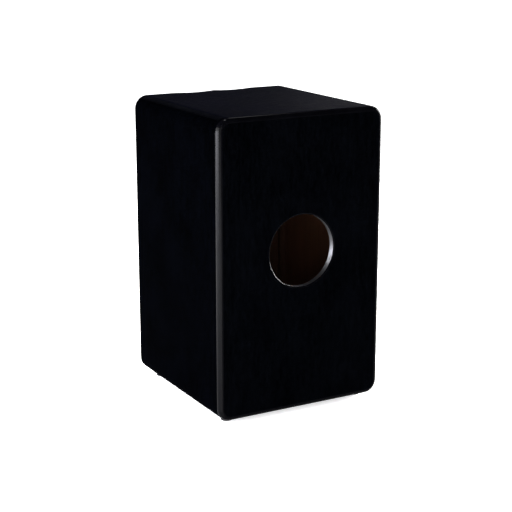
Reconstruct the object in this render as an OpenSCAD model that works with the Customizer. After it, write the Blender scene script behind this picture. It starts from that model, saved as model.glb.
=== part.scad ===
// Box drum with a playing plate at the front (-Y) and a sound hole in the back (+Y).
// Millimetres, +Z up, origin on the floor under the middle of the box.

/* [Box] */
// width across the side panels
body_w = 300; // [260:1:340]
// depth from the playing plate to the back panel
body_d = 300; // [260:1:340]
// height of the box without its feet
body_h = 485; // [430:1:540]
// thickness of the side, seat and base panels
wall_t = 12; // [10:0.5:16]
// radius of the four corners seen from the front
corner_r = 22; // [16:1:28]

/* [Back panel] */
// thickness of the back panel
back_t = 12; // [11:0.5:16]
// roundover along the back panel's outer edge
back_round = 8; // [2:0.5:10.5]
// radius of the hole cut in the back panel
hole_r = 59; // [45:0.5:70]
// height of the sound hole's centre above the underside of the box
hole_h = 264; // [220:1:330]
// roundover on the hole's outer rim
rim_r = 2; // [0.5:0.25:4]
// roundover on the hole's inner rim
rim_in = 0.5; // [0.25:0.25:2]

/* [Playing plate] */
// thickness of the playing plate
plate_t = 3; // [2.5:0.1:4]
// roundover along the playing plate's front edge
plate_round = 1; // [0.5:0.1:1.5]
// depth of the two hand scoops in the top front edge
scoop_depth = 1.5; // [0.5:0.1:3]
// width of each hand scoop along the edge
scoop_w = 74; // [50:1:90]
// distance over which a hand scoop runs out towards the back
scoop_run = 25; // [15:1:40]

/* [Inner frame] */
// side of the square battens behind the playing plate
batten = 10; // [8:0.5:14]
// leg of the triangular glue blocks in the long corners
block_leg = 22; // [15:1:30]

/* [Strings] */
// distance of each string pair from the middle
pair_x = 45; // [40:1:60]
// spacing of the two strings in a pair
string_gap = 10; // [8:0.5:12]
// radius of a string
string_r = 0.45; // [0.3:0.05:0.6]
// height of a string carrier above the inside of the base
carrier_lift = 43; // [38:1:46]
// radius of the key holes under the tension screws
key_hole_r = 10; // [6.5:0.5:12]

/* [Feet] */
// radius of a rubber foot where it meets the floor
foot_r = 9.5; // [8:0.5:14]
// height of a rubber foot
foot_h = 7; // [5:0.5:12]
// distance of a foot's centre from the side faces
foot_side_in = 28; // [28:1:60]
// distance of a foot's centre from the front and back faces
foot_end_in = 29; // [23:1:60]

/* [Hidden] */
$fn = 96;
hw = body_w / 2;
hd = body_d / 2;
z0 = foot_h;
z1 = foot_h + body_h;
zi0 = z0 + wall_t;
zi1 = z1 - wall_t;
xi = hw - wall_t;
yf = -hd + plate_t;
yb = hd - back_t;
edge_in = wall_t / 2;
side_pitch = (body_h - 80) / 4;
row_pitch = body_w * 0.3;
screw_r = 1.5;
screw_head = 3.2;
screw_head_h = 2;
string_y = yf + 1.7;
block_front = yf + batten;
block_back = block_front + 32;
block_top = zi0 + 80;
block_half = pair_x + 35;
pull_y = block_front + 14;
pocket_half = 13;
pocket_back = block_front + 24;
pocket_z0 = zi0 + 30;
pocket_z1 = zi0 + 70;
carrier_z = zi0 + carrier_lift;
carrier_hz = 14;
bar_half = 75;
bar_z = zi1 - 20;
bar_front = yf + 0.5;
bar_back = yf + 16.5;
ball_z = zi1 - 9;
block_screw_x = [-(pair_x + 24), -16, 16, pair_x + 24];
anchor_screw_x = [-66, -22, 22, 66];

// ---- shared shapes ----

// a profile drawn in X and Z, swept from y0 to y1
module along_y(y0, y1) {
  translate([0, y1, 0]) rotate([90, 0, 0]) linear_extrude(y1 - y0) children();
}

// half a panel joint: the part of the corner arc below the mitre, on the side
module side_end() {
  intersection() {
    translate([hw - corner_r, corner_r]) circle(corner_r);
    polygon([[xi, wall_t], [hw + 8, wall_t - (hw + 8 - xi)],
             [hw + 8, corner_r], [xi, corner_r]]);
  }
}

module side_profile() {
  translate([xi, corner_r]) square([wall_t, body_h - 2 * corner_r]);
  side_end();
  translate([0, body_h]) mirror([0, 1]) side_end();
}

// the matching half of the corner arc, on the base
module base_end() {
  intersection() {
    translate([hw - corner_r, corner_r]) circle(corner_r);
    polygon([[hw - corner_r, wall_t], [xi, wall_t],
             [hw + 8, wall_t - (hw + 8 - xi)],
             [hw - corner_r, wall_t - (hw + 8 - xi)]]);
  }
}

module base_profile() {
  translate([-(hw - corner_r), 0]) square([2 * (hw - corner_r), wall_t]);
  base_end();
  mirror([1, 0]) base_end();
}

// strip of a slab w wide and t thick with its outer top corner rounded
module slab_profile(w, t, r) {
  square([w - r, t]);
  translate([w - r, 0]) square([r, t - r]);
  translate([w - r, t - r]) intersection() {
    circle(r);
    square(r);
  }
}

module slab_side(t, r) {
  translate([hw - corner_r, 0, corner_r])
    linear_extrude(body_h - 2 * corner_r) slab_profile(corner_r, t, r);
}

module slab_bottom(t, r) {
  translate([-(hw - corner_r), 0, corner_r]) rotate([0, 90, 0])
    linear_extrude(2 * (hw - corner_r)) slab_profile(corner_r, t, r);
}

module slab_corner(t, r) {
  translate([hw - corner_r, 0, corner_r]) rotate([-90, 0, 0])
    rotate_extrude(angle = 90) slab_profile(corner_r, t, r);
}

module slab_half(t, r) {
  slab_bottom(t, r);
  slab_corner(t, r);
  mirror([1, 0, 0]) slab_corner(t, r);
}

// the box outline as a slab from y = 0 to t, its edge rounded at y = t
module rounded_slab(t, r) {
  translate([-(hw - corner_r), 0, corner_r])
    cube([2 * (hw - corner_r), t, body_h - 2 * corner_r]);
  slab_side(t, r);
  mirror([1, 0, 0]) slab_side(t, r);
  slab_half(t, r);
  translate([0, 0, body_h]) mirror([0, 0, 1]) slab_half(t, r);
}

module rim_flare(r) {
  difference() {
    translate([0, -1]) square([hole_r + r, 1 + r]);
    translate([hole_r + r, r]) circle(r);
  }
}

// cutter for the hole with both rims rounded
module hole_cutter() {
  rotate([-90, 0, 0]) rotate_extrude() {
    translate([0, -1]) square([hole_r, back_t + 2]);
    rim_flare(rim_in);
    translate([0, back_t]) mirror([0, 1]) rim_flare(rim_r);
  }
}

// two shallow scoops in the top front edge, running out towards the back
module hand_scoops() {
  reach = scoop_w / 2;
  big = (reach * reach + scoop_depth * scoop_depth) / (2 * scoop_depth);
  tilt = atan(scoop_depth / scoop_run);
  for (s = [-1, 1])
    translate([s * reach, -hd, z1 - scoop_depth]) rotate([tilt, 0, 0])
      translate([0, -10, big]) rotate([-90, 0, 0])
        cylinder(r = big, h = scoop_run + 25, $fn = 360);
}

// countersunk wood screw, head at z = 0, pointing down
module wood_screw(len) {
  difference() {
    union() {
      translate([0, 0, -screw_head_h])
        cylinder(r1 = screw_r, r2 = screw_head, h = screw_head_h, $fn = 48);
      translate([0, 0, -(len - 4)])
        cylinder(r = screw_r, h = len - 4 - screw_head_h, $fn = 48);
      translate([0, 0, -len]) cylinder(r1 = 0.2, r2 = screw_r, h = 4, $fn = 48);
    }
    translate([-1.7, -0.4, -1.2]) cube([3.4, 0.8, 2]);
    translate([-0.4, -1.7, -1.2]) cube([0.8, 3.4, 2]);
  }
}

// its seat: a countersink and a hole, a little larger than the screw
module screw_seat(len) {
  translate([0, 0, -screw_head_h])
    cylinder(r1 = screw_r + 0.05, r2 = screw_head + 0.05, h = screw_head_h, $fn = 48);
  translate([0, 0, -len - 0.5]) cylinder(r = screw_r + 0.05, h = len + 0.5, $fn = 48);
  cylinder(r = screw_head + 0.05, h = 1, $fn = 48);
}

// ---- where the fasteners go ----

module at_side_screws(s) {
  for (i = [0:4])
    translate([s * (hw - edge_in), -hd, z0 + 40 + i * side_pitch])
      rotate([90, 0, 0]) children();
}

module at_row_screws(z) {
  for (i = [-1:1])
    translate([i * row_pitch, -hd, z]) rotate([90, 0, 0]) children();
}

module at_plate_screws() {
  at_side_screws(-1) children();
  at_side_screws(1) children();
  at_row_screws(z0 + edge_in) children();
  at_row_screws(z1 - edge_in) children();
}

module at_feet() {
  for (sx = [-1, 1], sy = [-1, 1])
    translate([sx * (hw - foot_side_in), sy * (hd - foot_end_in), 0]) children();
}

module at_block_screws() {
  for (x = block_screw_x)
    translate([x, pull_y + 2, z0]) rotate([180, 0, 0]) children();
}

module at_anchor_screws() {
  for (x = anchor_screw_x)
    translate([x, yf + 10, bar_z]) rotate([180, 0, 0]) children();
}

module at_strings(s) {
  for (d = [-1, 1])
    translate([s * pair_x + d * string_gap / 2, string_y, 0]) children();
}

// ---- box ----

module back_panel() color([0.03, 0.03, 0.04]) {
  translate([0, yb, z0]) difference() {
    rounded_slab(back_t, back_round);
    translate([0, 0, hole_h]) hole_cutter();
  }
}

module side_panel() {
  difference() {
    translate([0, 0, z0]) along_y(yf, yb) side_profile();
    at_side_screws(1) screw_seat(20);
  }
}

module side_panel_left() color([0.03, 0.03, 0.04]) mirror([1, 0, 0]) side_panel();

module side_panel_right() color([0.03, 0.03, 0.04]) side_panel();

module seat_panel() color([0.04, 0.04, 0.05]) {
  difference() {
    translate([0, 0, z1]) mirror([0, 0, 1]) along_y(yf, yb) base_profile();
    at_row_screws(z1 - edge_in) screw_seat(20);
    at_anchor_screws() screw_seat(28);
    hand_scoops();
  }
}

module base_panel() color([0.03, 0.03, 0.04]) {
  difference() {
    translate([0, 0, z0]) along_y(yf, yb) base_profile();
    at_row_screws(z0 + edge_in) screw_seat(20);
    at_block_screws() screw_seat(35);
    at_feet() translate([0, 0, z0 - 1]) cylinder(r = screw_r + 0.05, h = 11, $fn = 48);
    for (s = [-1, 1])
      translate([s * pair_x, pull_y, z0 - 1]) cylinder(r = key_hole_r, h = wall_t + 2, $fn = 64);
  }
}

module playing_plate() color([0.42, 0.24, 0.13]) {
  difference() {
    translate([0, yf, z0]) mirror([0, 1, 0]) rounded_slab(plate_t, plate_round);
    at_plate_screws() screw_seat(20);
    hand_scoops();
  }
}

module plate_screws() color([0.3, 0.3, 0.32]) at_plate_screws() wood_screw(20);

// ---- inner frame ----

module batten_left() color([0.62, 0.48, 0.32])
  translate([-xi, yf, zi0 + batten]) cube([batten, batten, zi1 - zi0 - batten]);

module batten_right() color([0.62, 0.48, 0.32])
  translate([xi - batten, yf, zi0 + batten]) cube([batten, batten, zi1 - zi0 - batten]);

module batten_bottom() color([0.62, 0.48, 0.32])
  translate([-xi, yf, zi0]) cube([2 * xi, batten, batten]);

// glue block in the lower right corner
module corner_block() {
  along_y(block_front, yb)
    polygon([[xi, zi0], [xi, zi0 + block_leg], [xi - block_leg, zi0]]);
}

module corner_block_bottom_right() color([0.62, 0.48, 0.32]) corner_block();

module corner_block_bottom_left() color([0.62, 0.48, 0.32]) mirror([1, 0, 0]) corner_block();

module corner_block_top_right() color([0.62, 0.48, 0.32])
  translate([0, 0, z0 + z1]) mirror([0, 0, 1]) corner_block();

module corner_block_top_left() color([0.62, 0.48, 0.32])
  translate([0, 0, z0 + z1]) mirror([0, 0, 1]) mirror([1, 0, 0]) corner_block();

// ---- strings ----

module anchor_bar() color([0.55, 0.38, 0.22]) {
  difference() {
    translate([-bar_half, bar_front, bar_z]) cube([2 * bar_half, bar_back - bar_front, zi1 - bar_z]);
    at_anchor_screws() screw_seat(28);
    for (s = [-1, 1]) at_strings(s) {
      translate([-0.7, -5, bar_z - 1]) cube([1.4, 6, ball_z - bar_z + 1]);
      translate([-2.4, -5, ball_z - 2]) cube([4.8, 7, 4]);
    }
  }
}

module anchor_screws() color([0.7, 0.7, 0.72]) at_anchor_screws() wood_screw(28);

module string_ball_ends() color([0.78, 0.6, 0.25]) {
  for (s = [-1, 1]) at_strings(s) difference() {
    translate([-1.9, 0, ball_z]) rotate([0, 90, 0]) cylinder(r = 1.4, h = 3.8, $fn = 48);
    translate([0, 0, ball_z - 3]) cylinder(r = string_r + 0.1, h = 6, $fn = 32);
  }
}

module string_pair(s) {
  at_strings(s) translate([0, 0, carrier_z - 6])
    cylinder(r = string_r, h = ball_z + 1 - (carrier_z - 6), $fn = 32);
}

module strings_left() color([0.75, 0.75, 0.77]) string_pair(-1);

module strings_right() color([0.75, 0.75, 0.77]) string_pair(1);

// slides up and down in its pocket, its nose holds the lower string ends
module string_carrier(s) {
  difference() {
    union() {
      translate([s * pair_x - pocket_half + 0.3, block_front, carrier_z])
        cube([2 * pocket_half - 0.6, pocket_back - block_front - 0.3, carrier_hz]);
      translate([s * pair_x - 11, yf + 0.4, carrier_z])
        cube([22, block_front - yf - 0.4, carrier_hz]);
    }
    translate([s * pair_x, pull_y, carrier_z - 1]) cylinder(r = 3.05, h = carrier_hz + 2, $fn = 64);
    at_strings(s) translate([-0.7, -5, carrier_z - 1]) cube([1.4, 6, carrier_hz + 2]);
  }
}

module string_carrier_left() color([0.72, 0.74, 0.76]) string_carrier(-1);

module string_carrier_right() color([0.72, 0.74, 0.76]) string_carrier(1);

module string_crimps(s) {
  at_strings(s) translate([0, 0, carrier_z - 5]) difference() {
    cylinder(r = 1.3, h = 5, $fn = 32);
    translate([0, 0, -1]) cylinder(r = string_r + 0.1, h = 7, $fn = 32);
  }
}

module string_crimps_left() color([0.78, 0.6, 0.25]) string_crimps(-1);

module string_crimps_right() color([0.78, 0.6, 0.25]) string_crimps(1);

// hex socket screw that pulls its carrier down, turned from under the base
module tension_screw(s) {
  translate([s * pair_x, pull_y, zi0 - 1.2]) difference() {
    union() {
      cylinder(r = 3, h = 76, $fn = 64);
      translate([0, 0, -6]) cylinder(r = 5, h = 6, $fn = 64);
    }
    translate([0, 0, -7]) cylinder(r = 2.5 / cos(30), h = 4, $fn = 6);
  }
}

module tension_screw_left() color([0.2, 0.2, 0.22]) tension_screw(-1);

module tension_screw_right() color([0.2, 0.2, 0.22]) tension_screw(1);

module tension_washers() color([0.7, 0.7, 0.72]) {
  for (s = [-1, 1]) translate([s * pair_x, pull_y, zi0 - 1.2]) difference() {
    cylinder(r = 6, h = 1.2, $fn = 64);
    translate([0, 0, -1]) cylinder(r = 3.3, h = 4, $fn = 64);
  }
}

module tuner_block() color([0.55, 0.38, 0.22]) {
  difference() {
    translate([-block_half, block_front, zi0])
      cube([2 * block_half, block_back - block_front, block_top - zi0]);
    at_block_screws() screw_seat(35);
    for (s = [-1, 1]) {
      translate([s * pair_x - pocket_half, block_front - 1, pocket_z0])
        cube([2 * pocket_half, pocket_back - block_front + 1, pocket_z1 - pocket_z0]);
      translate([s * pair_x, pull_y, zi0 - 1]) cylinder(r = 3.3, h = 77, $fn = 64);
    }
  }
}

module tuner_block_screws() color([0.7, 0.7, 0.72]) at_block_screws() wood_screw(35);

// ---- feet ----

module foot() {
  difference() {
    cylinder(r1 = foot_r, r2 = foot_r + 0.5, h = foot_h);
    translate([0, 0, -1]) cylinder(r = 4.6, h = foot_h - 2, $fn = 64);
    cylinder(r = 1.7, h = foot_h + 1, $fn = 48);
  }
}

module foot_at(sx, sy) {
  translate([sx * (hw - foot_side_in), sy * (hd - foot_end_in), 0]) foot();
}

module foot_front_left() color([0.06, 0.06, 0.06]) foot_at(-1, -1);

module foot_front_right() color([0.06, 0.06, 0.06]) foot_at(1, -1);

module foot_back_left() color([0.06, 0.06, 0.06]) foot_at(-1, 1);

module foot_back_right() color([0.06, 0.06, 0.06]) foot_at(1, 1);

module foot_washers() color([0.7, 0.7, 0.72]) {
  at_feet() translate([0, 0, foot_h - 4]) difference() {
    cylinder(r = 4.4, h = 1, $fn = 64);
    translate([0, 0, -1]) cylinder(r = 1.7, h = 3, $fn = 48);
  }
}

// pan head screw through the foot into the base
module foot_screws() color([0.7, 0.7, 0.72]) {
  at_feet() translate([0, 0, foot_h - 4]) difference() {
    union() {
      translate([0, 0, -2]) cylinder(r1 = 2.6, r2 = 3, h = 2, $fn = 48);
      cylinder(r = screw_r, h = 9, $fn = 48);
      translate([0, 0, 9]) cylinder(r1 = screw_r, r2 = 0.2, h = 4, $fn = 48);
    }
    translate([-1.6, -0.4, -3]) cube([3.2, 0.8, 2]);
    translate([-0.4, -1.6, -3]) cube([0.8, 3.2, 2]);
  }
}

// ---- nodes ----

back_panel();
side_panel_left();
side_panel_right();
seat_panel();
base_panel();
playing_plate();
plate_screws();
batten_left();
batten_right();
batten_bottom();
corner_block_top_left();
corner_block_top_right();
corner_block_bottom_left();
corner_block_bottom_right();
anchor_bar();
anchor_screws();
string_ball_ends();
strings_left();
strings_right();
string_carrier_left();
string_carrier_right();
string_crimps_left();
string_crimps_right();
tension_screw_left();
tension_screw_right();
tension_washers();
tuner_block();
tuner_block_screws();
foot_front_left();
foot_front_right();
foot_back_left();
foot_back_right();
foot_washers();
foot_screws();
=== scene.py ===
"""Looks for the box drum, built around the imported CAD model. Metres, +Z up, back with the sound hole towards +Y."""

import math

import bmesh
import bpy
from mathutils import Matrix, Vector


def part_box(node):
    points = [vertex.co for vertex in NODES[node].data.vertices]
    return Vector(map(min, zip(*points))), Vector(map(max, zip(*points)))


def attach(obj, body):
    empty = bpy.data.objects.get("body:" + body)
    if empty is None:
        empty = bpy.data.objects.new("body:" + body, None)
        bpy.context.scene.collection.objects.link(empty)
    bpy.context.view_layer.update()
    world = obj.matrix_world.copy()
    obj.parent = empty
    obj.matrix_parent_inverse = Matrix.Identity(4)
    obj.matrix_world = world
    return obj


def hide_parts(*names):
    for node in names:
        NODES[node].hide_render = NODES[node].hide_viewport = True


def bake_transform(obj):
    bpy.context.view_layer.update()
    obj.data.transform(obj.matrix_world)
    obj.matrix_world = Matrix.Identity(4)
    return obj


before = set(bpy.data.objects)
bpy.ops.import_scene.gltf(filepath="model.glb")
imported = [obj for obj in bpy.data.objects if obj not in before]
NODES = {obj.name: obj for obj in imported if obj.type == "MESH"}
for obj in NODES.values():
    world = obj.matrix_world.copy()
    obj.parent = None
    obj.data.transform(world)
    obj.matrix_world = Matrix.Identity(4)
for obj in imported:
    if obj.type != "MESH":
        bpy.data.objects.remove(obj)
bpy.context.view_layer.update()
SCENE = bpy.context.scene

# ------------------------------------------------------------------ sizes that repeat the CAD source, in metres

HW, HD = 0.150, 0.150
Z0, Z1 = 0.007, 0.492
CORNER = 0.022
Y_FRONT, Y_BACK = -0.147, 0.138
HOLE_Z, HOLE_R, HOLE_RIM = 0.271, 0.059, 0.002
ROUND = 0.008

# ------------------------------------------------------------------ camera

CAM_AZ, CAM_DIST, CAM_Z, CAM_PITCH, CAM_F = 150.74, 2.1534, 0.7893, 14.598, 1317.5

cam_data = bpy.data.cameras.new("camera")
cam_data.sensor_width = 36.0
cam_data.lens = CAM_F / 512 * 36.0
cam_data.clip_start, cam_data.clip_end = 0.05, 80.0
camera = bpy.data.objects.new("camera", cam_data)
SCENE.collection.objects.link(camera)
camera.location = (
    math.sin(math.radians(CAM_AZ)) * CAM_DIST,
    -math.cos(math.radians(CAM_AZ)) * CAM_DIST,
    CAM_Z,
)
camera.rotation_euler = (math.radians(90 - CAM_PITCH), 0, math.radians(CAM_AZ))
SCENE.camera = camera

# ------------------------------------------------------------------ node helpers


class Graph:
    """A material's node tree with short calls for the nodes used here."""

    def __init__(self, name):
        self.mat = bpy.data.materials.new(name)
        self.mat.use_nodes = True
        self.tree = self.mat.node_tree
        self.tree.nodes.clear()
        self.out = self.tree.nodes.new("ShaderNodeOutputMaterial")
        self.bsdf = self.tree.nodes.new("ShaderNodeBsdfPrincipled")
        self.link(self.bsdf.outputs[0], self.out.inputs["Surface"])
        self.coord = self.tree.nodes.new("ShaderNodeTexCoord").outputs["Object"]

    def link(self, a, b):
        self.tree.links.new(a, b)

    def put(self, socket, value):
        if hasattr(value, "links"):
            self.link(value, socket)
        else:
            socket.default_value = value

    def set(self, **values):
        names = {
            "color": "Base Color",
            "rough": "Roughness",
            "metal": "Metallic",
            "ior": "IOR",
            "normal": "Normal",
            "coat": "Coat Weight",
            "coat_rough": "Coat Roughness",
            "aniso": "Anisotropic",
            "aniso_turn": "Anisotropic Rotation",
            "tangent": "Tangent",
            "sheen": "Sheen Weight",
            "sheen_rough": "Sheen Roughness",
            "spec": "Specular IOR Level",
            "glow": "Emission Color",
            "glow_strength": "Emission Strength",
        }
        for k, v in values.items():
            self.put(self.bsdf.inputs[names[k]], v)
        return self

    def stretch(self, scale, at=(0, 0, 0), vector=None, turn=(0, 0, 0)):
        n = self.tree.nodes.new("ShaderNodeMapping")
        n.inputs["Scale"].default_value = scale
        n.inputs["Location"].default_value = at
        n.inputs["Rotation"].default_value = turn
        self.put(n.inputs["Vector"], vector or self.coord)
        return n.outputs[0]

    def height(self):
        """Height above the floor, because every piece sits at the origin."""
        n = self.tree.nodes.new("ShaderNodeSeparateXYZ")
        self.link(self.coord, n.inputs[0])
        return n.outputs["Z"]

    def noise(self, vector, scale=1.0, detail=4.0, rough=0.55, warp=0.0):
        n = self.tree.nodes.new("ShaderNodeTexNoise")
        n.inputs["Scale"].default_value = scale
        n.inputs["Detail"].default_value = detail
        n.inputs["Roughness"].default_value = rough
        n.inputs["Distortion"].default_value = warp
        self.link(vector, n.inputs["Vector"])
        return n.outputs["Fac"]

    def bands(self, vector, scale, warp, detail=2.0, axis="X", detail_scale=1.0):
        n = self.tree.nodes.new("ShaderNodeTexWave")
        n.wave_type, n.bands_direction, n.wave_profile = "BANDS", axis, "SIN"
        n.inputs["Scale"].default_value = scale
        n.inputs["Distortion"].default_value = warp
        n.inputs["Detail"].default_value = detail
        n.inputs["Detail Scale"].default_value = detail_scale
        self.link(vector, n.inputs["Vector"])
        return n.outputs["Fac"]

    def cells(self, vector, scale, feature="F1", rand=1.0):
        n = self.tree.nodes.new("ShaderNodeTexVoronoi")
        n.feature = feature
        n.inputs["Scale"].default_value = scale
        n.inputs["Randomness"].default_value = rand
        self.link(vector, n.inputs["Vector"])
        return n.outputs["Distance"]

    def fit(self, value, a, b, lo, hi, smooth=False):
        n = self.tree.nodes.new("ShaderNodeMapRange")
        n.interpolation_type = "SMOOTHSTEP" if smooth else "LINEAR"
        for i, x in zip(("From Min", "From Max", "To Min", "To Max"), (a, b, lo, hi)):
            n.inputs[i].default_value = x
        self.link(value, n.inputs["Value"])
        return n.outputs[0]

    def calc(self, op, a, b=0.0):
        n = self.tree.nodes.new("ShaderNodeMath")
        n.operation = op
        self.put(n.inputs[0], a)
        self.put(n.inputs[1], b)
        return n.outputs[0]

    def ramp(self, value, stops):
        n = self.tree.nodes.new("ShaderNodeValToRGB")
        e = n.color_ramp.elements
        while len(e) < len(stops):
            e.new(0.5)
        for el, (pos, col) in zip(e, stops):
            el.position = pos
            el.color = (*col, 1)
        self.link(value, n.inputs["Fac"])
        return n.outputs["Color"]

    def mix(self, fac, a, b, mode="MIX"):
        n = self.tree.nodes.new("ShaderNodeMix")
        n.data_type, n.blend_type = "RGBA", mode
        self.put(n.inputs["Factor"], fac)
        for s, v in ((n.inputs[6], a), (n.inputs[7], b)):
            self.put(s, (*v, 1) if isinstance(v, tuple) and len(v) == 3 else v)
        return n.outputs[2]

    def bump(self, height, depth, strength=1.0, normal=None):
        n = self.tree.nodes.new("ShaderNodeBump")
        n.inputs["Strength"].default_value = strength
        n.inputs["Distance"].default_value = depth
        self.link(height, n.inputs["Height"])
        if normal is not None:
            self.link(normal, n.inputs["Normal"])
        return n.outputs[0]


def along(axis, across, length):
    """Texture scale for grain that runs along one axis."""
    return tuple(length if a == axis else across for a in "XYZ")


# ------------------------------------------------------------------ materials


def black_face(name, axis, dark, pale, ior=1.012, rough=(0.36, 0.52), painted_shade=None):
    """Thin satin black lacquer: the open grain of the wood still shows in it. The last argument, (z0, z1, share),
    paints shade by height: the colour darkens to a share of itself at z0 and is full at z1.
    """
    g = Graph(name)
    streak = g.noise(g.stretch(along(axis, 230, 40)), detail=3, rough=0.6, warp=0.3)
    fine = g.noise(g.stretch(along(axis, 520, 110), at=(3, 7, 1)), detail=3, rough=0.6)
    cloud = g.noise(g.stretch((13, 13, 11), at=(1, 2, 5)), detail=3, rough=0.5)
    both = g.calc("ADD", g.calc("MULTIPLY", streak, 0.5), g.calc("MULTIPLY", fine, 0.5))
    tone = g.calc("ADD", g.calc("MULTIPLY", both, 0.74), g.calc("MULTIPLY", cloud, 0.26))
    colour = g.ramp(tone, [(0.385, dark), (0.635, pale)])
    # Painted shade: lower down, the colour is mixed towards a darkened copy of itself.
    if painted_shade:
        z0, z1, share = painted_shade
        low = g.ramp(tone, [(0.385, tuple(share * v for v in dark)), (0.635, tuple(share * v for v in pale))])
        colour = g.mix(g.fit(g.height(), z0, z1, 0.0, 1.0), low, colour)
    g.set(color=colour)
    g.set(rough=g.fit(both, 0.3, 0.7, *rough), ior=ior)
    pores = g.fit(fine, 0.34, 0.48, 0.0, 1.0, smooth=True)
    g.set(normal=g.bump(g.calc("ADD", pores, g.calc("MULTIPLY", streak, 0.8)), 0.00006, 0.55))
    return g.mat


def black_gloss(name, ior, peel_depth=0.25):
    """Build-up of lacquer on a rounded edge: fuller gloss, slight orange peel."""
    g = Graph(name)
    peel = g.noise(g.stretch((260, 260, 260)), detail=2, rough=0.5)
    haze = g.noise(g.stretch((30, 30, 30), at=(4, 1, 2)), detail=3, rough=0.6)
    g.set(color=g.ramp(haze, [(0.3, (0.0004, 0.0004, 0.0007)), (0.7, (0.0009, 0.0009, 0.0013))]))
    g.set(rough=g.fit(haze, 0.3, 0.7, 0.15, 0.22), ior=ior)
    g.set(normal=g.bump(peel, 0.00004, peel_depth))
    return g.mat


def raw_wood(name, axis, dark, mid, pale, rough=(0.62, 0.8), seed=0.0, pores=0.5):
    """Unfinished wood: growth bands, fibres and pores along one axis."""
    g = Graph(name)
    warp = g.noise(g.stretch(along(axis, 9, 1.4), at=(seed, seed * 2, seed * 3)), detail=2)
    shifted = g.tree.nodes.new("ShaderNodeVectorMath")
    shifted.operation = "ADD"
    g.link(g.stretch(along(axis, 1.0, 0.25), at=(seed, 0, seed)), shifted.inputs[0])
    g.link(g.mix(1.0, (0, 0, 0), g.ramp(warp, [(0, (0, 0, 0)), (1, (0.05, 0.05, 0.05))])), shifted.inputs[1])
    direction = "Y" if axis == "X" else "X"
    rings = g.bands(shifted.outputs[0], 62, 3.2, axis=direction, detail=3, detail_scale=2.0)
    fibre = g.noise(g.stretch(along(axis, 700, 10), at=(seed, 1, 2)), detail=4, rough=0.65)
    streak = g.noise(g.stretch(along(axis, 120, 3), at=(2, seed, 1)), detail=3, rough=0.55)
    tone = g.calc("ADD", g.calc("MULTIPLY", rings, 0.34), g.calc("MULTIPLY", streak, 0.66))
    base = g.ramp(tone, [(0.2, dark), (0.5, mid), (0.8, pale)])
    pore = g.fit(fibre, 0.36, 0.5, pores, 0.0, smooth=True)
    g.set(color=g.mix(pore, base, dark))
    g.set(rough=g.fit(fibre, 0.3, 0.7, rough[1], rough[0]), ior=1.45)
    g.set(normal=g.bump(fibre, 0.00015, 0.6))
    return g.mat


def veneer(name):
    """Satin-lacquered veneer on the playing plate: straight reddish brown grain with long soft arches."""
    g = Graph(name)
    bend = g.noise(g.stretch((3.2, 1, 0.9), at=(5, 0, 2)), detail=2, rough=0.5)
    ripple = g.noise(g.stretch((14, 1, 3), at=(1, 0, 8)), detail=3, rough=0.5)
    push = g.calc("ADD", g.calc("MULTIPLY", bend, 0.24), g.calc("MULTIPLY", ripple, 0.030))
    sep = g.tree.nodes.new("ShaderNodeSeparateXYZ")
    g.link(g.coord, sep.inputs[0])
    mirrored = g.calc("ABSOLUTE", sep.outputs["X"])
    u = g.calc("ADD", mirrored, push)
    comb = g.tree.nodes.new("ShaderNodeCombineXYZ")
    g.link(u, comb.inputs["X"])
    g.link(g.calc("MULTIPLY", sep.outputs["Z"], 0.05), comb.inputs["Z"])
    wide = g.noise(g.stretch((55, 1, 1), vector=comb.outputs[0]), detail=3, rough=0.6)
    lines = g.noise(g.stretch((260, 1, 3), vector=comb.outputs[0], at=(3, 0, 0)), detail=4, rough=0.65)
    fibre = g.noise(g.stretch((1500, 40, 26), at=(2, 3, 4)), detail=3, rough=0.6)
    tone = g.calc("ADD", g.calc("MULTIPLY", wide, 0.5), g.calc("MULTIPLY", lines, 0.5))
    base = g.ramp(
        tone,
        [
            (0.30, (0.020, 0.0075, 0.0030)),
            (0.44, (0.062, 0.0235, 0.0085)),
            (0.55, (0.118, 0.0480, 0.0175)),
            (0.70, (0.175, 0.0800, 0.0320)),
        ],
    )
    pore = g.fit(fibre, 0.33, 0.44, 0.6, 0.0, smooth=True)
    g.set(color=g.mix(pore, base, (0.012, 0.0045, 0.0022)))
    g.set(rough=g.fit(fibre, 0.3, 0.7, 0.46, 0.34), ior=1.2)
    g.set(normal=g.bump(fibre, 0.00005, 0.35))
    return g.mat


def plate_back(name):
    return raw_wood(name, "X", (0.050, 0.021, 0.009), (0.058, 0.024, 0.011), (0.066, 0.028, 0.013), seed=6.0, pores=0.25)


def metal(name, color, rough, spread=0.08, scale=(400, 400, 40), ior=1.5, bump=0.00001, dust=None):
    """Worn plated or brushed metal: fine scratches in the gloss, and a little uneven colour."""
    g = Graph(name)
    scratch = g.noise(g.stretch(scale), detail=4, rough=0.7)
    blotch = g.noise(g.stretch((90, 90, 90), at=(2, 5, 1)), detail=3, rough=0.55)
    dark = dust or tuple(0.72 * c for c in color)
    g.set(color=g.ramp(g.calc("ADD", g.calc("MULTIPLY", scratch, 0.5), g.calc("MULTIPLY", blotch, 0.5)), [(0.3, dark), (0.68, color)]))
    g.set(metal=1.0, rough=g.fit(blotch, 0.3, 0.7, rough - spread, rough + spread), ior=ior)
    g.set(normal=g.bump(scratch, bump, 0.4))
    return g.mat


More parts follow.
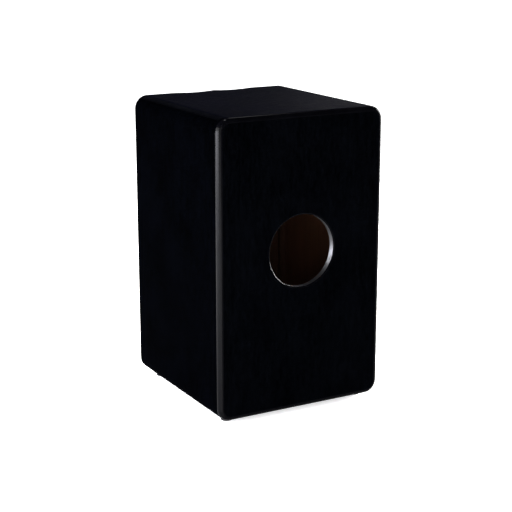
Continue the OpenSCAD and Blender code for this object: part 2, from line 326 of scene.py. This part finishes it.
def hole_wall(name):
    """Wall of the sound hole, burnished dark: tool marks run round it and spread the highlight. Its colour is painted
    lighter low down and near black higher up, a painted highlight and shade round the ring.
    """
    g = Graph(name)
    sep = g.tree.nodes.new("ShaderNodeSeparateXYZ")
    g.link(g.coord, sep.inputs[0])
    comb = g.tree.nodes.new("ShaderNodeCombineXYZ")
    g.link(sep.outputs["Y"], comb.inputs["X"])
    turn = g.noise(g.stretch((5200, 1, 1), vector=comb.outputs[0]), detail=3, rough=0.7)
    line = g.noise(g.stretch((420, 1, 1), vector=comb.outputs[0]), detail=2, rough=0.6)
    blotch = g.noise(g.stretch((60, 60, 60)), detail=3, rough=0.55)
    round_y = g.tree.nodes.new("ShaderNodeTangent")
    round_y.direction_type, round_y.axis = "RADIAL", "Y"
    level = g.fit(sep.outputs["Z"], HOLE_Z - HOLE_R, HOLE_Z + HOLE_R, 0.0, 1.0)
    level = g.calc("ADD", level, g.fit(blotch, 0.3, 0.7, -0.012, 0.012))
    level = g.calc("ADD", level, g.fit(line, 0.3, 0.7, -0.03, 0.03))
    # Painted highlight and shade: the colour is set by height in the hole, brightest at the bottom and near black at
    # the top.
    painted_light_by_height = [(0.0, 0.40), (0.15, 0.23), (0.45, 0.22), (0.70, 0.07), (0.95, 0.02)]
    shade = g.ramp(level, [(at, (0.97 * v, 0.97 * v, 1.03 * v)) for at, v in painted_light_by_height])
    g.set(color=g.mix(1.0, shade, g.fit(line, 0.3, 0.7, 0.74, 1.12), "MULTIPLY"), metal=1.0)
    g.set(rough=g.fit(turn, 0.3, 0.7, 0.42, 0.5), aniso=0.95, aniso_turn=0.25, tangent=round_y.outputs[0])
    g.set(normal=g.bump(turn, 0.00002, 0.3))
    return g.mat


def rubber(name):
    g = Graph(name)
    grain = g.noise(g.stretch((1500, 1500, 1500)), detail=3, rough=0.6)
    dust = g.noise(g.stretch((130, 130, 130), at=(2, 2, 7)), detail=4, rough=0.6)
    g.set(color=g.ramp(dust, [(0.35, (0.0030, 0.0030, 0.0033)), (0.75, (0.0095, 0.0092, 0.0090))]))
    g.set(rough=g.fit(grain, 0.3, 0.7, 0.62, 0.85), ior=1.2)
    g.set(normal=g.bump(grain, 0.00008, 0.5))
    return g.mat


# Painted light: one black lacquer is given a different colour on each face, standing in for how light falls on it. The
# seat's copy is several times lighter and bluer, a painted sheen from above. The back's copy is a little lighter than
# the sides'.
FACE_DARK, FACE_PALE = (0.00002, 0.00003, 0.00007), (0.00027, 0.00035, 0.00066)
BACK_DARK, BACK_PALE = (0.00007, 0.00010, 0.00019), (0.00068, 0.00085, 0.00132)
SEAT_DARK, SEAT_PALE = (0.00030, 0.00036, 0.00130), (0.00110, 0.00122, 0.00330)

M = {
    "side": black_face("black_lacquer_side", "Z", FACE_DARK, FACE_PALE, ior=1.006),
    "back": black_face("black_lacquer_back", "Z", BACK_DARK, BACK_PALE, ior=1.007),
    "seat": black_face("black_lacquer_seat", "X", SEAT_DARK, SEAT_PALE, ior=1.013, rough=(0.40, 0.66)),
    # Seat edge: a lighter copy of the seat's colour as painted sheen on the rounding, with painted shade that darkens
    # it to about a quarter below z0. That covers the lower rounding and all of the base's rounding.
    "arc": black_face("black_lacquer_seat_edge", "X", (0.00070, 0.00078, 0.00122), (0.00240, 0.00255, 0.00350), ior=1.010, rough=(0.46, 0.66), painted_shade=(0.4872, 0.4914, 0.24)),
    "gloss": black_gloss("black_lacquer_edge", 1.14),
    "half": black_gloss("black_lacquer_half_edge", 1.10),
    "rim": black_gloss("black_lacquer_rim", 1.28, peel_depth=0.05),
    "edge": black_gloss("black_lacquer_thin_edge", 1.06),
    "inner_z": raw_wood("raw_ply_upright", "Z", (0.110, 0.045, 0.020), (0.120, 0.049, 0.022), (0.130, 0.054, 0.025), seed=1.0, pores=0.25),
    "inner_x": raw_wood("raw_ply_level", "X", (0.110, 0.045, 0.020), (0.120, 0.049, 0.022), (0.130, 0.054, 0.025), seed=2.0, pores=0.25),
    "veneer": veneer("plate_veneer_satin"),
    "plate_back": plate_back("plate_back_ply"),
    "frame_z": raw_wood("batten_wood_upright", "Z", (0.058, 0.024, 0.011), (0.070, 0.030, 0.014), (0.084, 0.037, 0.018), seed=3.0, pores=0.3),
    "frame_x": raw_wood("batten_wood_level", "X", (0.058, 0.024, 0.011), (0.070, 0.030, 0.014), (0.084, 0.037, 0.018), seed=4.0, pores=0.3),
    "frame_y": raw_wood("glue_block_wood", "Y", (0.058, 0.024, 0.011), (0.070, 0.030, 0.014), (0.084, 0.037, 0.018), seed=5.0, pores=0.3),
    "hard": raw_wood("planed_hardwood", "X", (0.17, 0.09, 0.042), (0.30, 0.18, 0.09), (0.42, 0.27, 0.15), rough=(0.5, 0.66), seed=7.0),
    "steel": metal("zinc_plated_steel", (0.62, 0.62, 0.60), 0.34),
    "dark_steel": metal("black_oxide_steel", (0.075, 0.075, 0.08), 0.42),
    "string": metal("drawn_steel_wire", (0.66, 0.65, 0.62), 0.28, scale=(3000, 3000, 90)),
    "brass": metal("brass", (0.72, 0.50, 0.20), 0.3),
    "aluminium": metal("milled_aluminium", (0.66, 0.67, 0.68), 0.36, scale=(60, 60, 2600), bump=0.00003),
    "wall": hole_wall("black_lacquer_hole_wall"),
    "rubber": rubber("foot_rubber"),
}

# ------------------------------------------------------------------ materials onto the CAD nodes, face by face


def dress(node, keys, choose=None):
    """Puts materials on a CAD node. choose(normal, centre) picks a key for each face."""
    me = NODES[node].data
    me.materials.clear()
    for k in keys:
        me.materials.append(M[k])
    if choose is None:
        return
    index = {k: i for i, k in enumerate(keys)}
    for p in me.polygons:
        p.material_index = index[choose(p.normal, p.center)]


def edge_depth(x, z):
    """How far a point lies inside the rounded outline seen from the front."""
    qx = abs(x) - (HW - CORNER)
    qz = abs(z - (Z0 + Z1) / 2) - ((Z1 - Z0) / 2 - CORNER)
    outside = math.hypot(max(qx, 0), max(qz, 0)) + min(max(qx, qz), 0)
    return CORNER - outside


def back_rule(n, c):
    if math.hypot(c.x, c.z - HOLE_Z) < HOLE_R + HOLE_RIM and abs(n.y) < 0.9995:
        if n.y < 0.02:
            return "wall"
        return "rim" if c.x > 0.2 * HOLE_R and c.z < HOLE_Z - 0.15 * HOLE_R else "edge"
    if n.y < -0.9:
        return "inner_z"
    if n.y > 0.9995:
        return "back"
    if n.z > 0.97:
        return "seat"
    if n.y < 0.02:
        return "side"
    if n.x > 0.3 and -0.12 <= n.z < 0.62 or n.x > 0.1 and n.z > 0.8:
        return "gloss"
    return "half" if n.z > 0.8 or (n.x > 0.3 and -0.4 < n.z < -0.12) else "edge"


dress("back_panel", ["back", "gloss", "half", "edge", "rim", "wall", "side", "seat", "inner_z"], back_rule)


def panel_rule(n, out, flat, inner):
    """out is how far a face looks outwards. End faces are black too, because lacquer creeps into the joints."""
    if out > 0.97:
        return flat
    if flat == "seat" and out > 0.8:
        return "arc"
    return "side" if out > 0.05 or abs(n.y) > 0.9 else inner


dress("side_panel_right", ["side", "inner_z"], lambda n, c: panel_rule(n, n.x, "side", "inner_z"))
dress("side_panel_left", ["side", "inner_z"], lambda n, c: panel_rule(n, -n.x, "side", "inner_z"))
dress("seat_panel", ["seat", "arc", "side", "inner_x"], lambda n, c: panel_rule(n, n.z, "seat", "inner_x"))
dress("base_panel", ["seat", "arc", "side", "inner_x"], lambda n, c: panel_rule(n, -n.z, "seat", "inner_x"))


def plate_rule(n, c):
    if edge_depth(c.x, c.z) < 0.0013 or (c.z > Z1 - 0.006 and n.z > 0.5):
        return "side"
    if n.y > 0.9:
        return "plate_back"
    return "veneer"


dress("playing_plate", ["veneer", "side", "plate_back"], plate_rule)
for name in ("batten_left", "batten_right"):
    dress(name, ["frame_z"])
dress("batten_bottom", ["frame_x"])
for name in ("top_left", "top_right", "bottom_left", "bottom_right"):
    dress("corner_block_" + name, ["frame_y"])
for name in ("anchor_bar", "tuner_block"):
    dress(name, ["hard"])
for name in ("anchor_screws", "tuner_block_screws", "foot_screws", "foot_washers", "tension_washers"):
    dress(name, ["steel"])
dress("plate_screws", ["dark_steel"])
dress("string_ball_ends", ["brass"])
for side in ("left", "right"):
    dress("string_carrier_" + side, ["aluminium"])
    dress("string_crimps_" + side, ["brass"])

# ------------------------------------------------------------------ strings, threaded screws and feet


def rings_to_mesh(bm, rings):
    """Closed shell through equal rings of points, capped at both ends."""
    loops = [[bm.verts.new(p) for p in ring] for ring in rings]
    n = len(loops[0])
    for a, b in zip(loops, loops[1:]):
        for i in range(n):
            bm.faces.new((a[i], a[(i + 1) % n], b[(i + 1) % n], b[i]))
    bm.faces.new(list(reversed(loops[0])))
    bm.faces.new(loops[-1])


def circle(x, y, z, r, n, shift=0.0):
    return [(x + r * math.cos(shift + 2 * math.pi * i / n), y + r * math.sin(shift + 2 * math.pi * i / n), z) for i in range(n)]


def coil(x, y, z_lo, z_hi, radius, wire, turns, n=8, per_turn=16):
    """Rings of a wire wound round an upright string."""
    out = []
    steps = turns * per_turn
    rise = (z_hi - z_lo) / (2 * math.pi * turns)
    for k in range(steps + 1):
        a = 2 * math.pi * k / per_turn
        centre = Vector((x + radius * math.cos(a), y + radius * math.sin(a), z_lo + rise * a))
        across = Vector((math.cos(a), math.sin(a), 0))
        forward = Vector((-radius * math.sin(a), radius * math.cos(a), rise)).normalized()
        up = forward.cross(across)
        out.append([centre + wire * (math.cos(t) * across + math.sin(t) * up) for t in (2 * math.pi * i / n for i in range(n))])
    return out


def piece_from(name, bm, material):
    bmesh.ops.recalc_face_normals(bm, faces=bm.faces)
    me = bpy.data.meshes.new(name)
    bm.to_mesh(me)
    bm.free()
    me.materials.append(material)
    for p in me.polygons:
        p.use_smooth = len(p.vertices) == 4
    o = bpy.data.objects.new(name, me)
    SCENE.collection.objects.link(o)
    return o


PAIR_X, STRING_GAP, STRING_Y, STRING_R = 0.045, 0.010, Y_FRONT + 0.0017, 0.00045
STRING_LO, STRING_HI, CARRIER_TOP = 0.056, 0.472, 0.076
SCREW_Y, SCREW_Z = Y_FRONT + 0.024, 0.0178


def string_pair(side, sign):
    """Two plain steel strings. Each is lapped round itself below its ball end."""
    bm = bmesh.new()
    for d in (-1, 1):
        x = sign * PAIR_X + d * STRING_GAP / 2
        levels = [STRING_LO + (STRING_HI - STRING_LO) * i / 64 for i in range(65)]
        rings_to_mesh(bm, [circle(x, STRING_Y, z, STRING_R, 16) for z in levels])
        rings_to_mesh(bm, coil(x, STRING_Y, 0.4560, 0.4685, 0.00051, 0.00015, 26))
    o = piece_from("wire_strings_" + side, bm, M["string"])
    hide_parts("strings_" + side)
    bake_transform(o)


def hex_ring(x, y, z, flat, n):
    """Hexagon drawn with n points, so that it joins a circle of n points."""
    out = []
    for i in range(n):
        a = 2 * math.pi * i / n
        r = flat / math.cos((a + math.pi / 6) % (math.pi / 3) - math.pi / 6)
        out.append((x + r * math.cos(a), y + r * math.sin(a), z))
    return out


def tension_screw(side, sign):
    """Socket screw: knurled head with a hex socket below, cut thread above."""
    x, y = sign * PAIR_X, SCREW_Y
    n = 96
    bm = bmesh.new()
    low = SCREW_Z - 0.006

    def knurl(z, depth):
        out = []
        for i in range(n):
            a = 2 * math.pi * i / n
            r = 0.005 - (depth if i % 2 else 0.0)
            out.append((x + r * math.cos(a), y + r * math.sin(a), z))
        return out

    rings_to_mesh(
        bm,
        [
            circle(x, y, low + 0.0034, 0.0004, n),
            hex_ring(x, y, low + 0.0030, 0.0025, n),
            hex_ring(x, y, low + 0.0003, 0.0025, n),
            circle(x, y, low, 0.0031, n),
            circle(x, y, low, 0.0046, n),
            circle(x, y, low + 0.0003, 0.0049, n),
            knurl(low + 0.0006, 0.00016),
            knurl(low + 0.0050, 0.00016),
            circle(x, y, low + 0.0054, 0.0049, n),
            circle(x, y, SCREW_Z, 0.0047, n),
            circle(x, y, SCREW_Z, 0.0028, n),
        ],
    )
    pitch, around = 0.001, 32
    z_lo, z_hi = SCREW_Z - 0.0006, SCREW_Z + 0.076
    rings = []
    steps = round((z_hi - z_lo) / pitch * 10)
    for k in range(steps + 1):
        z = z_lo + (z_hi - z_lo) * k / steps
        lead = min(1.0, max(0.0, (z - SCREW_Z - 0.002) / 0.002)) * min(1.0, max(0.0, (z_hi - z) / 0.0015) + 0.0)
        ring = []
        for i in range(around):
            a = 2 * math.pi * i / around
            f = (z / pitch - i / around) % 1.0
            tooth = max(0.0, min(1.0, 2.6 * abs(f - 0.5) - 0.15))
            r = 0.00262 + 0.00037 * (tooth * lead + (1.0 - lead) * (1.0 if z < SCREW_Z + 0.01 else 0.0))
            ring.append((x + r * math.cos(a), y + r * math.sin(a), z))
        rings.append(ring)
    rings_to_mesh(bm, rings)
    o = piece_from("threaded_screw_" + side, bm, M["dark_steel"])
    for p in o.data.polygons:
        p.use_smooth = False
    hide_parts("tension_screw_" + side)
    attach(o, "tension_screw_" + side)


def moulded_foot(end, side):
    """Rubber foot: rounded lower rim, a groove round its wall, and a recess below for its washer and screw."""
    lo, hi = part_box(f"foot_{end}_{side}")
    x, y = (lo[0] + hi[0]) / 2, (lo[1] + hi[1]) / 2
    turn = [math.radians(15 * i) for i in range(7)]
    profile = [(8.8 + 0.7 * math.sin(t), 0.7 - 0.7 * math.cos(t)) for t in turn]
    profile += [(9.55, 1.2), (9.63, 2.4), (9.70, 3.5), (9.62, 3.62), (9.30, 3.80), (9.30, 4.30), (9.66, 4.48), (9.76, 4.60)]
    profile += [(9.86, 5.8), (9.90, 6.5), (9.86, 6.75), (9.72, 6.93), (9.50, 7.0)]
    profile += [(1.7, 7.0), (1.7, 4.0), (4.6, 4.0)]
    profile += [(5.4 - 0.8 * math.cos(t), 0.8 - 0.8 * math.sin(t)) for t in turn]
    n = 96
    bm = bmesh.new()
    loops = [[bm.verts.new(p) for p in circle(x, y, lo[2] + z / 1000, r / 1000, n)] for r, z in profile]
    for a, b in zip(loops, loops[1:] + loops[:1]):
        for i in range(n):
            bm.faces.new((a[i], a[(i + 1) % n], b[(i + 1) % n], b[i]))
    o = piece_from(f"moulded_foot_{end}_{side}", bm, M["rubber"])
    o.data.set_sharp_from_angle(angle=math.radians(40))
    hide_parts(f"foot_{end}_{side}")
    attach(o, "box")


for side, sign in (("left", -1), ("right", 1)):
    string_pair(side, sign)
    tension_screw(side, sign)
    for end in ("front", "back"):
        moulded_foot(end, side)

# ------------------------------------------------------------------ floor, world and lights


def floor_material():
    g = Graph("floor")
    cloud = g.noise(g.stretch((3, 3, 3)), detail=3, rough=0.5)
    g.set(color=g.ramp(cloud, [(0.3, (0.86, 0.86, 0.86)), (0.7, (0.885, 0.885, 0.885))]))
    g.set(rough=0.9, spec=0.0, glow=(1.0, 1.0, 1.0, 1.0), glow_strength=0.62)
    return g.mat


bm = bmesh.new()
bmesh.ops.create_circle(bm, cap_ends=True, radius=28.0, segments=96)
floor_mesh = bpy.data.meshes.new("floor")
bm.to_mesh(floor_mesh)
bm.free()
floor_mesh.materials.append(floor_material())
floor = bpy.data.objects.new("floor", floor_mesh)
SCENE.collection.objects.link(floor)

world = bpy.data.worlds.new("studio")
SCENE.world = world
world.use_nodes = True
wt = world.node_tree
wt.nodes.clear()
w_out = wt.nodes.new("ShaderNodeOutputWorld")
w_bg = wt.nodes.new("ShaderNodeBackground")
w_co = wt.nodes.new("ShaderNodeTexCoord")
w_sep = wt.nodes.new("ShaderNodeSeparateXYZ")
w_ramp = wt.nodes.new("ShaderNodeValToRGB")
wt.links.new(w_co.outputs["Generated"], w_sep.inputs[0])
wt.links.new(w_sep.outputs["Z"], w_ramp.inputs["Fac"])
wt.links.new(w_ramp.outputs["Color"], w_bg.inputs["Color"])
wt.links.new(w_bg.outputs[0], w_out.inputs["Surface"])
w_ramp.color_ramp.interpolation = "EASE"
stops = w_ramp.color_ramp.elements
stops[0].position, stops[0].color = 0.15, (1.02, 1.02, 1.02, 1)
stops[1].position, stops[1].color = 0.32, (0.06, 0.06, 0.065, 1)
w_bg.inputs["Strength"].default_value = 1.0


def sun(name, direction, strength, angle):
    d = bpy.data.lights.new(name, "SUN")
    d.energy, d.angle = strength, math.radians(angle)
    o = bpy.data.objects.new(name, d)
    o.rotation_mode = "QUATERNION"
    o.rotation_quaternion = Vector(direction).to_track_quat("Z", "Y")
    SCENE.collection.objects.link(o)
    return o


def softbox(name, at, towards, size, watts, tint=(1.0, 1.0, 1.0)):
    d = bpy.data.lights.new(name, "AREA")
    d.color = tint
    d.shape, d.size, d.size_y, d.energy = "RECTANGLE", size[0], size[1], watts
    o = bpy.data.objects.new(name, d)
    o.location = at
    o.rotation_mode = "QUATERNION"
    o.rotation_quaternion = (Vector(at) - Vector(towards)).to_track_quat("Z", "Y")
    o.visible_camera = False
    SCENE.collection.objects.link(o)
    return o


sun("overhead", (0.02, -0.042, 1.0), 3.2, 3)
softbox("side_box", (2.2, 0.1, 0.33), (0, 0.1, 0.33), (3.0, 0.64), 166, tint=(0.96, 0.965, 1.06))
softbox("floor_wash_near", (1.0, 0.15, 0.55), (1.0, 0.15, 0.0), (0.9, 0.7), 5, tint=(0.96, 0.965, 1.06))
softbox("side_box_high", (2.1, 0.1, 1.05), (0, 0.1, 0.4), (3.0, 0.7), 66)
softbox("floor_wash_side", (0.95, -0.6, 1.1), (1.75, -0.6, 0.5), (1.6, 0.5), 60)
softbox("floor_wash_back", (0.3, 0.95, 1.1), (0.35, 1.75, 0.5), (2.0, 0.5), 60)
softbox("camera_box", (1.1, 2.5, 0.95), (0.0, 0.15, 0.35), (1.6, 1.3), 10)
softbox("right_box", (-2.05, -0.15, 0.68), (0, 0.15, 0.3), (1.1, 1.3), 270)
softbox("far_box", (-1.7, -1.6, 0.85), (0, 0, 0.45), (1.1, 0.9), 12)
softbox("edge_kicker", (-0.58, -0.58, 1.59), (0.13, 0.148, 0.49), (0.22, 0.22), 0.9)

SCENE.view_settings.view_transform = "Standard"
SCENE.view_settings.look = "None"
SCENE.view_settings.exposure = 0.0
SCENE.view_settings.gamma = 1.0
